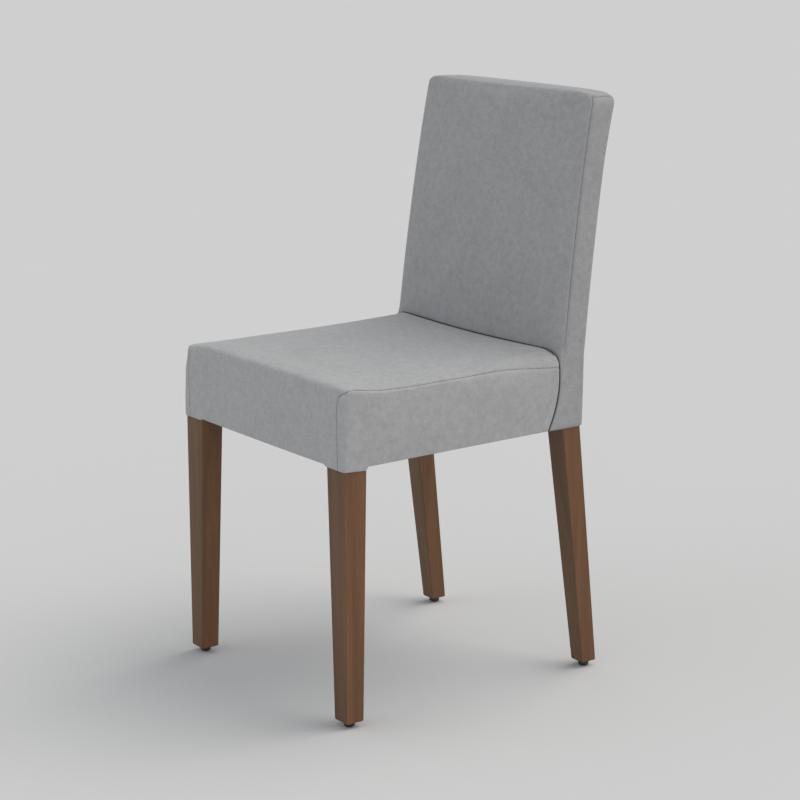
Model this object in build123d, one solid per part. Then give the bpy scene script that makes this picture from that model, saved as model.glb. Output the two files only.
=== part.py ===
from build123d import *
import os
from math import cos, radians, sin, sqrt

os.makedirs("parts", exist_ok=True)

# Upholstered dining chair. Millimetres, +Z up, the front of the seat faces -Y.
# The origin is on the floor, under the middle of the chair's overall box.
# Distances called reach are measured backwards from the front faces of the front legs.

# Widths over the wooden frame
front_width = 430.0
rear_narrowing = 12.0
rear_width = front_width - rear_narrowing
foot_narrowing = 6.0
rear_foot_width = rear_width - foot_narrowing
back_narrowing = 21.0
back_top_width = rear_width - back_narrowing

# Heights above the floor
glide_height = 8.5
seam_height = 484.0
seat_side_height = 107.0
seat_underside = seam_height - seat_side_height
rear_underside_rise = 4.5
knee_rise = 5.0
knee_height = seat_underside + knee_rise
back_start_rise = 2.0
back_start_height = seam_height + back_start_rise
back_height = 867.0

# Depths behind the front legs
rear_leg_reach = 420.5
rear_leg_splay = 40.5
rear_foot_reach = rear_leg_reach + rear_leg_splay
seat_rear_room = 43.5
seat_reach = rear_leg_reach - seat_rear_room
back_front_set_back = 8.0
back_front_reach = seat_reach + back_front_set_back

# Seat cushion
seat_swell = 1.6
cover_proud = 2.4
seat_tuck = 20.0
front_roll = 15.0
side_roll = 13.0
rear_roll = 5.0
roll_height = 10.0
roll_start_drop = 9.0
seat_top_slope = 9.0
seat_crown = 3.5
crown_set_in = 95.0
seat_bow = 1.5
seat_corner = 8.0
seat_corner_low = 3.5
seam_wrap = 17.0
seam_corner = 12.0
seam_rear_drop = 12.0
seam_rear_run = 83.0

# Back cushion
joint_gap = 1.8
back_cover_proud = 3.0
back_lean = 55.4
back_curve_radius = 4560.0
back_thickness = 43.0
back_bow = 6.0
back_rear_bow = 1.5
back_corner = 5.0
back_corner_low = 3.5
back_top_roll = 16.0
back_top_slope = 3.0
back_top_front_roll = 8.0
back_top_rear_roll = 10.0
back_leg_room = 3.5
back_seam_inset = 7.0

# Covers and filling
cover = 2.2
seam_gap = 0.5
soft_clearance = 0.4
rail_cover_room = 1.5
back_board_thickness = 2.0
back_board_drop = 9.0
strap_thickness = 1.5
strap_width = 50.0
strap_end_gap = 3.0
seat_straps_lengthwise = 4
seat_straps_crosswise = 3
back_strap_first_rise = 62.0
back_strap_lap = 2.0
back_strap_gap = 10.0

# Front legs
front_leg_x = 45.0
front_leg_y = 36.5
front_foot_x = 31.0
front_foot_y = 29.0

# Rear legs and stiles
rear_leg_x = 38.0
rear_leg_y = 32.0
rear_foot_x = 27.0
rear_foot_y = 26.0
stile_thickness = 24.0
stile_top_x = 30.0
stile_top_drop = 17.0
leg_edge_radius = 1.5
foot_chamfer = 1.5

# Rails, blocks and fasteners
rail_thickness = 22.0
rail_height = 65.0
rail_lift = 3.5
rail_set_back = 2.0
rear_rail_set_in = 8.0
rear_rail_thickness = 19.0
top_rail_height = 60.0
lower_rail_height = 45.0
lower_rail_lift = 8.0
block_leg = 88.0
block_height = 40.0
dowel_diameter = 8.0
dowel_in_leg = 17.0
dowel_in_rail = 21.0
dowel_spacing = 36.0
glue_gap = 0.1
screw_diameter = 5.0
screw_head_diameter = 10.0
screw_head_height = 3.5
screw_tip_gap = 5.0

# Dust cover and staples
dust_thickness = 0.8
dust_set_in = 7.0
dust_leg_clearance = 2.0
staple_crown = 12.0
staple_wire = 0.9
staple_leg = 7.0
staple_gap = 0.1
staples_per_rail = 5

# Glides
glide_diameter = 16.0
glide_sole_diameter = 11.0
glide_bore = 3.6
glide_nail_diameter = 3.2
glide_nail_head = 6.4
glide_nail_head_height = 1.2
glide_recess = 2.4
glide_nail_in_leg = 16.0

def lean_share(height):
    return (height - back_start_height) / (back_height - back_start_height)


def lean(share, offset=0.0):
    """Reach and height on the back's curve, one arc from the seat (0) to the top (1)."""
    rise = back_height - back_start_height
    chord = sqrt(back_lean**2 + rise**2)
    depth = sqrt(back_curve_radius**2 - (chord / 2) ** 2)
    centre_reach = back_front_reach + back_lean / 2 + depth * rise / chord
    centre_height = back_start_height + rise / 2 - depth * back_lean / chord
    height = back_start_height + rise * share
    reach = centre_reach - sqrt(back_curve_radius**2 - (height - centre_height) ** 2)
    return reach + offset, height


# Values worked out from the sizes above
half_front = front_width / 2
half_rear = rear_width / 2
front_swell = cover_proud + seat_swell
back_reach = lean(lean_share(back_height - back_top_roll))[0] + back_thickness
leg_front_y = -(back_reach - front_swell - seat_bow) / 2
rail_bottom = seat_underside + rail_lift
rail_top = rail_bottom + rail_height
side_rail_top = rail_top + strap_thickness
foam_bottom = side_rail_top + strap_thickness
back_filling_low = foam_bottom + 2 * cover
back_board_room = cover + soft_clearance + back_board_thickness
roll_start = seam_height - roll_start_drop
stile_rear_offset = back_thickness - back_board_room
stile_front_offset = stile_rear_offset - stile_thickness
stile_top_height = back_height - stile_top_drop
side_slope = (half_front - half_rear) / (rear_leg_reach - rear_leg_y)
SIDES = {"left": -1, "right": 1}


def save(node, shape):
    export_step(shape, f"parts/{node}.step")


def at(reach):
    """Y of a point that lies this far behind the front faces of the front legs."""
    return leg_front_y + reach


def block_between(x_range, y_range, z_range):
    sizes = [high - low for low, high in (x_range, y_range, z_range)]
    middles = [(high + low) / 2 for low, high in (x_range, y_range, z_range)]
    return Pos(*middles) * Box(*sizes)


def prism(points, direction):
    """A closed outline of 3-D points, pushed along a vector."""
    return Solid.extrude(Face(Wire.make_polygon(points)), Vector(*direction))


def rod(start, direction, length, diameter):
    plane = Plane(origin=start, z_dir=direction)
    return Solid.make_cylinder(diameter / 2, length, plane)


def span(start, middle_bow, end):
    """A straight run, or a shallow arc that bows by the given vector at its middle."""
    a, b, bow = Vector(*start), Vector(*end), Vector(*middle_bow)
    if bow.length < 0.01:
        return Edge.make_line(a, b)
    return Edge.make_three_point_arc(a, (a + b) / 2 + bow, b)


def ring(front, rear, half_f, half_r, corner, front_bow, side_bow, rear_bow, lift):
    """A rounded, bowed outline of eight edges; lift gives the height at each Y."""

    def point(x, y):
        return (x, y, lift(y))

    def turn(x, y, side, end):
        """The rounded corner whose outer lines meet at x, y."""
        inner = Vector(x - side * corner, y - end * corner, 0)
        middle = inner + Vector(side * corner, end * corner, 0) / sqrt(2)
        first = point(x, y - end * corner)
        last = point(x - side * corner, y)
        middle = point(middle.X, middle.Y)
        if side * end > 0:
            return Edge.make_three_point_arc(first, middle, last)
        return Edge.make_three_point_arc(last, middle, first)

    def bow(x, y, y_middle):
        return (x, y, lift(y_middle + y) - lift(y_middle))

    middle_y = (front + rear) / 2
    edges = [
        span(point(corner - half_f, front), bow(0, -front_bow, front), point(half_f - corner, front)),
        turn(half_f, front, 1, -1),
        span(point(half_f, front + corner), bow(side_bow, 0, middle_y), point(half_r, rear - corner)),
        turn(half_r, rear, 1, 1),
        span(point(half_r - corner, rear), bow(0, rear_bow, rear), point(corner - half_r, rear)),
        turn(-half_r, rear, -1, 1),
        span(point(-half_r, rear - corner), bow(-side_bow, 0, middle_y), point(-half_f, front + corner)),
        turn(-half_f, front, -1, -1),
    ]
    return Wire(edges)


def rectangle_ring(x_range, y_range, z, radius):
    """A level rectangle with rounded corners, for the legs."""
    half = (x_range[1] - x_range[0]) / 2
    outline = ring(y_range[0], y_range[1], half, half, radius, 0, 0, 0, lambda y: z)
    return outline.moved(Location(((x_range[0] + x_range[1]) / 2, 0, 0)))


def tuck(share):
    """How far the rear of the seat draws forward below its fullest height."""
    fullest = 0.75
    return seat_tuck * max(0, 1 - share / fullest) ** 2


def seat_form(inset, open_bottom=0.0):
    """The seat cushion's outer form, or the form that lies inset inside it."""
    wall = roll_start - seat_underside
    rings = []

    def slope(height, rise):
        return lambda y: height + rise * (y - leg_front_y) / seat_reach

    def add(height, rise, front_in, side_in, rear_in, corner):
        y_front = at(front_in - front_swell + inset)
        y_rear = at(seat_reach - rear_in - inset)
        side = cover_proud + seat_swell - side_in - inset
        half_f = half_front + side
        half_r = half_front - side_slope * (seat_reach - rear_in) + side
        corner = corner - inset / 2
        lift = slope(height, rise)
        rings.append(ring(y_front, y_rear, half_f, half_r, corner, seat_bow, seat_bow, 0, lift))

    for share in (0.0, 0.25, 0.55, 0.82):
        draw_in = seat_swell * (2 * share - 1) ** 2
        height = seat_underside + wall * share
        rise = rear_underside_rise * (1 - share) + seat_top_slope * share
        drop = open_bottom if share == 0 else 0
        corner = seat_corner_low + (seat_corner - seat_corner_low) * share
        add(height - drop, rise, draw_in, draw_in, tuck(share), corner)
    for angle in (8, 38, 64, 84):
        turn = 1 - cos(radians(angle))
        height = roll_start + roll_height * sin(radians(angle)) - inset * sin(radians(angle))
        draw_in = seat_swell * cos(radians(angle))
        add(
            height,
            seat_top_slope,
            draw_in + front_roll * turn,
            draw_in + side_roll * turn,
            rear_roll * turn,
            seat_corner,
        )
    top = roll_start + roll_height + seat_crown - inset
    add(top, seat_top_slope, crown_set_in, crown_set_in, crown_set_in, seat_corner)
    return Solid.make_loft(rings, True)


def back_half(height):
    """Half the width over the stiles at a height."""
    share = (height - knee_height) / (back_height - knee_height)
    return half_rear + (back_top_width / 2 - half_rear) * share


def back_lower_rear(height, underside):
    """Reach of the rear cover beside the leg, with room for the board where that begins."""
    share = min(1, (height - underside) / (back_filling_low - underside))
    room = back_leg_room + (back_board_room - back_leg_room) * share
    return stile_reach(stile_rear_offset, height) + room


def back_form(inset, open_bottom=0.0):
    """The back cushion's outer form, or the form that lies inset inside it."""
    rings = []
    side = back_cover_proud
    rear_underside = seat_underside + rear_underside_rise
    wall = roll_start + seat_top_slope - rear_underside

    def add(height, front, rear, half, bow, rear_bow, corner=back_corner, tilt=0.0):
        corner = corner - inset / 2
        y_front, y_rear = at(front + inset), at(rear - inset)

        def lift(y):
            return height - tilt * (y - at(front)) / back_thickness

        half = half - inset
        rings.append(ring(y_front, y_rear, half, half, corner, bow, 0, rear_bow, lift))

    for share in (0.0, 0.25, 0.55, 0.82):
        height = rear_underside + wall * share
        front = seat_reach - tuck(share) + joint_gap
        rear = back_lower_rear(height, rear_underside)
        drop = open_bottom if share == 0 else 0
        add(height - drop, front, rear, back_half(height) + side, 0, 0, back_corner_low)
    for share, fullness in ((0.06, 0.3), (0.27, 0.85), (0.5, 1.0), (0.73, 1.0), (0.9, 0.7)):
        front, height = lean(share)
        half = back_half(height) + side
        add(height, front, front + back_thickness, half, back_bow * fullness, back_rear_bow)
    top = back_height
    half = back_half(top) + side
    for angle, fullness in ((8, 0.5), (38, 0.4), (64, 0.3), (84, 0.2)):
        turn = 1 - cos(radians(angle))
        height = top - back_top_roll * (1 - sin(radians(angle))) - inset * sin(radians(angle))
        reach = lean(lean_share(height))[0]
        front = reach + back_top_front_roll * turn
        rear = reach + back_thickness - back_top_rear_roll * turn
        bow = back_bow * fullness
        add(height, front, rear, half - back_top_roll * turn, bow, 0, back_corner, back_top_slope)
    return Solid.make_loft(rings, True)


def stile_reach(offset, height):
    """Reach of a line offset from the stile, straight from the knee to the seat's top."""
    knee_reach = rear_leg_reach - rear_leg_y + offset - stile_front_offset
    if offset >= stile_rear_offset:
        knee_reach = rear_leg_reach + offset - stile_rear_offset
    share = (height - knee_height) / (back_start_height - knee_height)
    return knee_reach + (lean(0, offset)[0] - knee_reach) * share


def back_band(front_offset, rear_offset, low, high, half_width):
    """A plate between two offsets of the back's curve, over a range of heights."""
    start = max(low, back_start_height)
    shares = [lean_share(height) for height in (start, (start + high) / 2, high)]

    def place(reach, height):
        return Vector(-half_width, at(reach), height)

    inner = [place(*lean(share, front_offset)) for share in shares]
    outer = [place(*lean(share, rear_offset)) for share in reversed(shares)]
    edges = [
        Edge.make_three_point_arc(*inner),
        Edge.make_line(inner[-1], outer[0]),
        Edge.make_three_point_arc(*outer),
    ]
    foot = [outer[-1], inner[0]]
    if low < back_start_height:
        lower = [place(stile_reach(offset, low), low) for offset in (rear_offset, front_offset)]
        foot = [outer[-1], *lower, inner[0]]
    edges += [Edge.make_line(first, last) for first, last in zip(foot, foot[1:])]
    return Solid.extrude(Face(Wire(edges)), Vector(2 * half_width, 0, 0))


def front_leg(side):
    outer = side * half_front

    def across(size):
        return tuple(sorted((outer, outer - side * size)))

    def level(x_size, y_size, z, trim=0.0):
        low, high = across(x_size)
        y_range = (at(trim), at(y_size - trim))
        return rectangle_ring((low + trim, high - trim), y_range, z, leg_edge_radius)

    levels = [
        level(front_foot_x, front_foot_y, glide_height, foot_chamfer),
        level(front_foot_x, front_foot_y, glide_height + foot_chamfer),
        level(front_leg_x, front_leg_y, seat_underside),
        level(front_leg_x, front_leg_y, rail_top),
    ]
    return Solid.make_loft(levels, True)


def rear_leg(side):
    """A leg that splays back below the knee and a stile that leans back above it."""
    foot_half = rear_foot_width / 2

    def level(half, x_size, rear, y_size, z, trim=0.0):
        x_range = sorted((side * (half - trim), side * (half - x_size + trim)))
        y_range = (at(rear - y_size + trim), at(rear - trim))
        return rectangle_ring(x_range, y_range, z, leg_edge_radius)

    lower = Solid.make_loft(
        [
            level(foot_half, rear_foot_x, rear_foot_reach, rear_foot_y, glide_height, foot_chamfer),
            level(foot_half, rear_foot_x, rear_foot_reach, rear_foot_y, glide_height + foot_chamfer),
            level(half_rear, rear_leg_x, rear_leg_reach, rear_leg_y, knee_height),
        ],
        True,
    )
    stile = back_band(stile_front_offset, stile_rear_offset, knee_height, stile_top_height, half_front)
    outline = [
        (half_rear, knee_height),
        (back_half(stile_top_height), stile_top_height),
        (back_half(stile_top_height) - stile_top_x, stile_top_height),
        (half_rear - rear_leg_x, knee_height),
    ]
    width = prism([(side * x, at(-front_swell), z) for x, z in outline], (0, back_reach + front_swell, 0))
    return lower + (stile & width)


def side_rail_outer(reach):
    """Half the width over the side rails at a reach."""
    return half_front - rail_set_back - side_slope * reach


def side_rail(side, legs):
    start, end = front_leg_y / 2, rear_leg_reach - rear_leg_y / 2
    outline = [
        (side * side_rail_outer(start), at(start), rail_bottom),
        (side * side_rail_outer(end), at(end), rail_bottom),
        (side * (side_rail_outer(end) - rail_thickness), at(end), rail_bottom),
        (side * (side_rail_outer(start) - rail_thickness), at(start), rail_bottom),
    ]
    return prism(outline, (0, 0, side_rail_top - rail_bottom)) - legs


def cross_rail(front, thickness, legs, half):
    x_range = (-half, half)
    y_range = (at(front), at(front + thickness))
    return block_between(x_range, y_range, (rail_bottom, rail_top)) - legs


def corner_block(side, corner, end, obstacles):
    """A braced corner: a right triangle trimmed to the rails and the leg around it."""
    x, y = corner
    outline = [(x, y), (x - side * block_leg, y), (x, y + end * block_leg)]
    low = rail_bottom + (rail_height - block_height) / 2
    whole = prism([(px, py, low) for px, py in outline], (0, 0, block_height)) - obstacles
    return max(whole.solids(), key=lambda solid: solid.volume)


def corner_screw(side, corner, end, grow=0.0):
    """A pan-head screw from the middle of a block's long face towards the leg."""
    x, y = corner
    middle = rail_bottom + rail_height / 2
    inward = Vector(side, -end, 0).normalized()
    face = Vector(x - side * block_leg / 2, y + end * block_leg / 2, middle)
    length = block_leg / sqrt(2) - screw_tip_gap
    shank = rod(face, inward, length + grow, screw_diameter + 2 * grow)
    head = rod(face, -inward, screw_head_height, screw_head_diameter)
    return shank if grow else shank + head


def dowel(start, direction, grow=0.0):
    """A dowel centred on a joint face: the direction points into the leg."""
    way = Vector(*direction)
    origin = Vector(*start) - way * (dowel_in_rail + grow)
    return rod(origin, way, dowel_in_rail + dowel_in_leg + 2 * grow, dowel_diameter + 2 * grow)


def all_dowels(grow=0.0):
    pieces = []
    middle = rail_bottom + rail_height / 2
    heights = (middle - dowel_spacing / 2, middle + dowel_spacing / 2)
    front_rail_middle = at(rail_set_back + rail_thickness / 2)
    rear_rail_middle = at(rear_rail_front + rear_rail_thickness / 2)
    side_middle = rail_thickness / 2
    for side in SIDES.values():
        for z in heights:
            x = side * (half_front - front_leg_x)
            pieces.append(dowel((x, front_rail_middle, z), (side, 0, 0), grow))
            x = side * (back_half(z) - rear_leg_x)
            pieces.append(dowel((x, rear_rail_middle, z), (side, 0, 0), grow))
            x = side * (side_rail_outer(front_leg_y) - side_middle)
            pieces.append(dowel((x, at(front_leg_y), z), (0, -1, 0), grow))
            face = stile_reach(stile_front_offset, z)
            x = side * (side_rail_outer(face) - side_middle)
            pieces.append(dowel((x, at(face), z), (0, 1, 0), grow))
        for low, height in ((top_rail_low, top_rail_height), (lower_rail_low, lower_rail_height)):
            z = low + height / 2
            reach = lean(lean_share(z), (stile_front_offset + stile_rear_offset) / 2)[0]
            x = side * (back_half(z) - stile_width(z))
            pieces.append(dowel((x, at(reach), z), (side, 0, 0), grow))
    return pieces


def stile_width(height):
    share = (height - knee_height) / (stile_top_height - knee_height)
    return rear_leg_x + (stile_top_x - rear_leg_x) * share


rear_rail_front = rear_leg_reach - rear_leg_y + rear_rail_set_in
top_rail_low = stile_top_height - top_rail_height
lower_rail_low = back_start_height + lower_rail_lift


def back_rail(low, height, stiles):
    half = back_half(low) - stile_width(low) / 2
    bar = back_band(stile_front_offset, stile_rear_offset, low, low + height, half) - stiles
    return bar.solid()


def glide_centres():
    """The middle of each foot, by its name."""
    front_x = half_front - front_foot_x / 2
    rear_x = rear_foot_width / 2 - rear_foot_x / 2
    rear_y = at(rear_foot_reach - rear_foot_y / 2)
    places = {}
    for name, side in SIDES.items():
        places[f"front_{name}"] = (side * front_x, at(front_foot_y / 2))
        places[f"rear_{name}"] = (side * rear_x, rear_y)
    return places


def glide(x, y):
    """A domed foot, flat on the floor, with a bore and a recess for its nail."""
    radius, sole = glide_diameter / 2, glide_sole_diameter / 2
    knuckle = (radius, glide_height * 0.55)
    bulge = (sole + (radius - sole) * 0.72, glide_height * 0.16)
    edges = [
        Edge.make_line((0, 0, 0), (sole, 0, 0)),
        Edge.make_three_point_arc((sole, 0, 0), (bulge[0], 0, bulge[1]), (knuckle[0], 0, knuckle[1])),
        Edge.make_line((knuckle[0], 0, knuckle[1]), (radius, 0, glide_height)),
        Edge.make_line((radius, 0, glide_height), (0, 0, glide_height)),
        Edge.make_line((0, 0, glide_height), (0, 0, 0)),
    ]
    body = revolve(Face(Wire(edges)), Axis.Z)
    body -= rod((0, 0, 0), (0, 0, 1), glide_height, glide_bore)
    body -= rod((0, 0, 0), (0, 0, 1), glide_recess, glide_nail_head + 2 * glue_gap)
    return Pos(x, y, 0) * body


def glide_nail(x, y):
    shank_length = glide_height - glide_recess + glide_nail_in_leg
    shank = rod((x, y, glide_recess), (0, 0, 1), shank_length, glide_nail_diameter)
    head_bottom = glide_recess - glide_nail_head_height
    return shank + rod((x, y, head_bottom), (0, 0, 1), glide_nail_head_height, glide_nail_head)


def nail_bore(x, y):
    depth = glide_nail_in_leg + glue_gap
    return rod((x, y, glide_height), (0, 0, 1), depth, glide_nail_diameter + 2 * glue_gap)


def staple(x, y, along_x, grow=0.0):
    """A staple whose crown lies under the dust cover and whose legs enter the rail."""
    top = rail_bottom - dust_thickness
    half, wire = staple_crown / 2, staple_wire / 2
    legs = []
    for end in (-1, 1):
        place = end * (half - wire)
        px, py = (x + place, y) if along_x else (x, y + place)
        reach = wire + grow
        z_range = (top, top + dust_thickness + staple_leg + grow)
        legs.append(block_between((px - reach, px + reach), (py - reach, py + reach), z_range))
    if grow:
        return legs
    x_half, y_half = (half, wire) if along_x else (wire, half)
    crown = block_between((x - x_half, x + x_half), (y - y_half, y + y_half), (top - staple_wire, top))
    return [crown + legs[0] + legs[1]]


def all_staples(grow=0.0):
    pieces = []
    front_y = at(rail_set_back + rail_thickness / 2)
    rear_y = at(rear_rail_front + rear_rail_thickness / 2)
    inner_half = half_rear - rear_leg_x - staple_crown - dust_leg_clearance
    first = front_leg_y + rail_thickness
    last = rear_leg_reach - rear_leg_y - rail_thickness
    for index in range(staples_per_rail):
        share = index / (staples_per_rail - 1)
        x = inner_half * (2 * share - 1)
        pieces += staple(x, front_y, True, grow)
        pieces += staple(x, rear_y, True, grow)
        reach = first + (last - first) * share
        middle = side_rail_outer(reach) - rail_thickness / 2
        for side in SIDES.values():
            pieces += staple(side * middle, at(reach), False, grow)
    return pieces


def dust_cover_sheet(legs_grown):
    front, rear = rail_set_back + dust_set_in, rear_rail_front + rear_rail_thickness - dust_set_in
    bottom = rail_bottom - dust_thickness
    outline = []
    for reach, side in ((front, -1), (front, 1), (rear, 1), (rear, -1)):
        outline.append((side * (side_rail_outer(reach) - dust_set_in), at(reach), bottom))
    return prism(outline, (0, 0, dust_thickness)) - legs_grown


def leg_notches():
    """Room around each leg where the dust cover is cut back."""
    room = dust_leg_clearance
    z_range = (rail_bottom - 2 * dust_thickness, rail_bottom + dust_thickness)
    notches = []
    rear_front_face = rear_leg_reach - rear_leg_y - room
    for side in SIDES.values():
        x_range = sorted((side * (half_front + room), side * (half_front - front_leg_x - room)))
        notches.append(block_between(x_range, (at(-room), at(front_leg_y + room)), z_range))
        x_range = sorted((side * (half_rear + room), side * (half_rear - rear_leg_x - room)))
        y_range = (at(rear_front_face), at(rear_leg_reach + 2 * room))
        notches.append(block_between(x_range, y_range, z_range))
    return notches


def side_panel_room(side):
    """Room that belongs to a seat side panel: beside and below the sewn seam."""
    seam_x = half_front + cover_proud - seam_wrap
    rear = seat_reach + joint_gap
    bend = seat_reach - seam_rear_run
    low = seat_underside - seam_wrap
    edges = [
        Edge.make_line((0, at(-seam_wrap), low), (0, at(rear), low)),
        Edge.make_line((0, at(rear), low), (0, at(rear), seam_height - seam_rear_drop)),
        Edge.make_three_point_arc(
            (0, at(rear), seam_height - seam_rear_drop),
            (0, at((rear + bend) / 2), seam_height - seam_rear_drop / 4),
            (0, at(bend), seam_height),
        ),
        Edge.make_line((0, at(bend), seam_height), (0, at(-seam_wrap), seam_height)),
        Edge.make_line((0, at(-seam_wrap), seam_height), (0, at(-seam_wrap), low)),
    ]
    face = Face(Wire(edges)).moved(Location((seam_x, 0, 0)))
    room = Solid.extrude(face, Vector(seam_wrap + 4 * front_swell, 0, 0))
    upper = room.edges().filter_by(Axis.Y).sort_by(Axis.Z)[-2:].sort_by(Axis.X)[0]
    room = fillet(upper, seam_corner)
    return room if side > 0 else room.mirror(Plane.YZ)


def build_frame():
    legs = {}
    for name, side in SIDES.items():
        legs[f"front_leg_{name}"] = front_leg(side)
        legs[f"rear_leg_{name}"] = rear_leg(side)
    all_legs = list(legs.values())
    rear_legs = [legs["rear_leg_left"], legs["rear_leg_right"]]
    front_half = half_front - front_leg_x / 2
    rear_half = half_rear - rear_leg_x / 2
    rails = {
        "seat_rail_front": cross_rail(rail_set_back, rail_thickness, all_legs, front_half),
        "seat_rail_rear": cross_rail(rear_rail_front, rear_rail_thickness, all_legs, rear_half),
        "back_top_rail": back_rail(top_rail_low, top_rail_height, rear_legs),
        "back_lower_rail": back_rail(lower_rail_low, lower_rail_height, rear_legs),
    }
    for name, side in SIDES.items():
        rails[f"seat_rail_{name}"] = side_rail(side, all_legs)
    seat_rails = [piece for name, piece in rails.items() if name.startswith("seat")]
    blocks, screws, screw_bores = {}, [], []
    rear_corner_x = side_rail_outer(rear_rail_front) - rail_thickness / 2
    rear_corner_y = at(rear_rail_front + rear_rail_thickness / 2)
    for name, side in SIDES.items():
        corners = {
            f"corner_block_front_{name}": ((side * (half_front - rail_thickness), at(rail_thickness)), 1),
            f"corner_block_rear_{name}": ((side * rear_corner_x, rear_corner_y), -1),
        }
        for node, (corner, end) in corners.items():
            blocks[node] = corner_block(side, corner, end, all_legs + seat_rails)
            screws.append(corner_screw(side, corner, end))
            screw_bores.append(corner_screw(side, corner, end, glue_gap))
    bores = all_dowels(glue_gap) + screw_bores
    nail_bores = [nail_bore(x, y) for x, y in glide_centres().values()]
    for node, leg in legs.items():
        save(node, leg - bores - nail_bores)
    for node, rail in rails.items():
        save(node, rail - bores - all_staples(staple_gap))
    for node, piece in blocks.items():
        save(node, piece - screw_bores)
    save("corner_block_screws", Compound(screws))
    save("rail_dowels", Compound(all_dowels()))


def build_feet():
    for name, (x, y) in glide_centres().items():
        save(f"glide_{name}", glide(x, y))
    save("glide_nails", Compound([glide_nail(x, y) for x, y in glide_centres().values()]))


def build_webbing():
    lengthwise, crosswise, back = [], [], []
    seat_span = 2 * (half_rear - rear_leg_x)
    pitch = seat_span / seat_straps_lengthwise
    y_range = (at(rail_set_back + strap_end_gap), at(rear_rail_front + rear_rail_thickness - strap_end_gap))
    for index in range(seat_straps_lengthwise):
        x = pitch * (index - (seat_straps_lengthwise - 1) / 2)
        x_range = (x - strap_width / 2, x + strap_width / 2)
        lengthwise.append(block_between(x_range, y_range, (rail_top, rail_top + strap_thickness)))
    first = front_leg_y + strap_width
    last = rear_leg_reach - rear_leg_y - strap_width
    for index in range(seat_straps_crosswise):
        reach = first + (last - first) * index / (seat_straps_crosswise - 1)
        half = side_rail_outer(reach + strap_width / 2) - strap_end_gap
        y_range = (at(reach - strap_width / 2), at(reach + strap_width / 2))
        crosswise.append(block_between((-half, half), y_range, (side_rail_top, foam_bottom)))
    first = lower_rail_low + back_strap_first_rise
    rise = top_rail_low + back_strap_lap - strap_width - first
    steps = int(rise // (strap_width + back_strap_gap))
    for index in range(steps + 1):
        low = first + rise * index / steps
        high = low + strap_width
        half = back_half(high) - strap_end_gap
        front = stile_front_offset - strap_thickness
        back.append(back_band(front, stile_front_offset, low, high, half))
    save("seat_webbing_lengthwise", Compound(lengthwise))
    save("seat_webbing_crosswise", Compound(crosswise))
    save("back_webbing", Compound(back))


def build_seat():
    filling_inset = cover + soft_clearance
    wide = front_width
    under = block_between((-wide, wide), (at(-wide), at(2 * wide)), (0, foam_bottom))
    foam = seat_form(filling_inset, filling_inset) - under
    save("seat_foam", foam.solid())
    skin = seat_form(0) - seat_form(cover, cover)
    rail_room = side_rail_outer(seat_reach) + rail_cover_room
    y_range = (at(seat_reach - seat_tuck - 2 * seat_corner), at(seat_reach + seat_tuck))
    skin -= block_between((-rail_room, rail_room), y_range, (0, foam_bottom + cover))
    sides = {name: side_panel_room(side) for name, side in SIDES.items()}
    main = skin
    for name, room in sides.items():
        save(f"seat_cover_side_{name}", (skin & room).solid())
        shift = -seam_gap * SIDES[name]
        main = main - room.moved(Location((shift, 0, seam_gap)))
        main = main - room
    save("seat_cover_main", max(main.solids(), key=lambda solid: solid.volume))


def build_back():
    filling_inset = cover + soft_clearance
    wide = front_width
    whole = back_form(filling_inset, filling_inset)
    foam_rear = stile_front_offset - strap_thickness - soft_clearance
    behind = back_band(foam_rear, 4 * back_thickness, knee_height, back_height + back_thickness, wide)
    under = block_between((-wide, wide), (at(-wide), at(2 * wide)), (0, back_filling_low))
    foam = whole - under - behind
    save("back_foam", max(foam.solids(), key=lambda solid: solid.volume))
    half = back_half(stile_top_height) - strap_end_gap
    board_rear = stile_rear_offset + back_board_thickness
    board_top = stile_top_height - back_board_drop
    board = back_band(stile_rear_offset, board_rear, back_filling_low, board_top, half)
    save("back_board", board)
    skin = back_form(0) - back_form(cover, cover)
    rail_room = side_rail_outer(seat_reach) + rail_cover_room
    y_range = (at(seat_reach - 2 * seat_tuck), at(rear_leg_reach - rear_leg_y))
    skin -= block_between((-rail_room, rail_room), y_range, (0, foam_bottom + cover))
    main = skin
    for name, side in SIDES.items():
        room = gusset_room(side)
        save(f"back_cover_side_{name}", max((skin & room).solids(), key=lambda solid: solid.volume))
        main = main - gusset_room(side, seam_gap)
    save("back_cover_main", max(main.solids(), key=lambda solid: solid.volume))


def gusset_room(side, grow=0.0):
    """Room that belongs to a back gusset: outside a plane that follows the stile's taper."""
    low, high = seat_underside - seam_wrap, back_height - back_top_roll / 2 + grow
    inner_low = back_half(low) + back_cover_proud - back_seam_inset - grow
    inner_high = back_half(high) + back_cover_proud - back_seam_inset - grow
    outer = half_front + 4 * front_swell
    outline = [(inner_low, low), (inner_high, high), (outer, high), (outer, low)]
    points = [(side * x, at(0), z) for x, z in outline]
    return prism(points, (0, 2 * back_reach, 0))


def build_dust_cover():
    sheet = dust_cover_sheet(leg_notches()) - all_staples(staple_gap)
    save("dust_cover", sheet.solid())
    save("dust_cover_staples", Compound(all_staples()))


build_frame()
build_feet()
build_webbing()
build_seat()
build_back()
build_dust_cover()
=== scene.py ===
# %% [markdown]
# An upholstered dining chair, dressed for rendering. The wooden frame, the feet and the fasteners come
# ready from a CAD model, so this lesson starts by loading that model as a fixed frame. What is left for
# Blender is everything soft: two cushions under a suede-like cloth, their sewn seams and the thin sheet
# under the seat, and then the finish of every surface.

# %% Load the frame
import math

import bmesh
import bpy
import numpy as np
from mathutils import Matrix, Vector, noise
from mathutils.bvhtree import BVHTree
from mathutils.kdtree import KDTree


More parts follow.
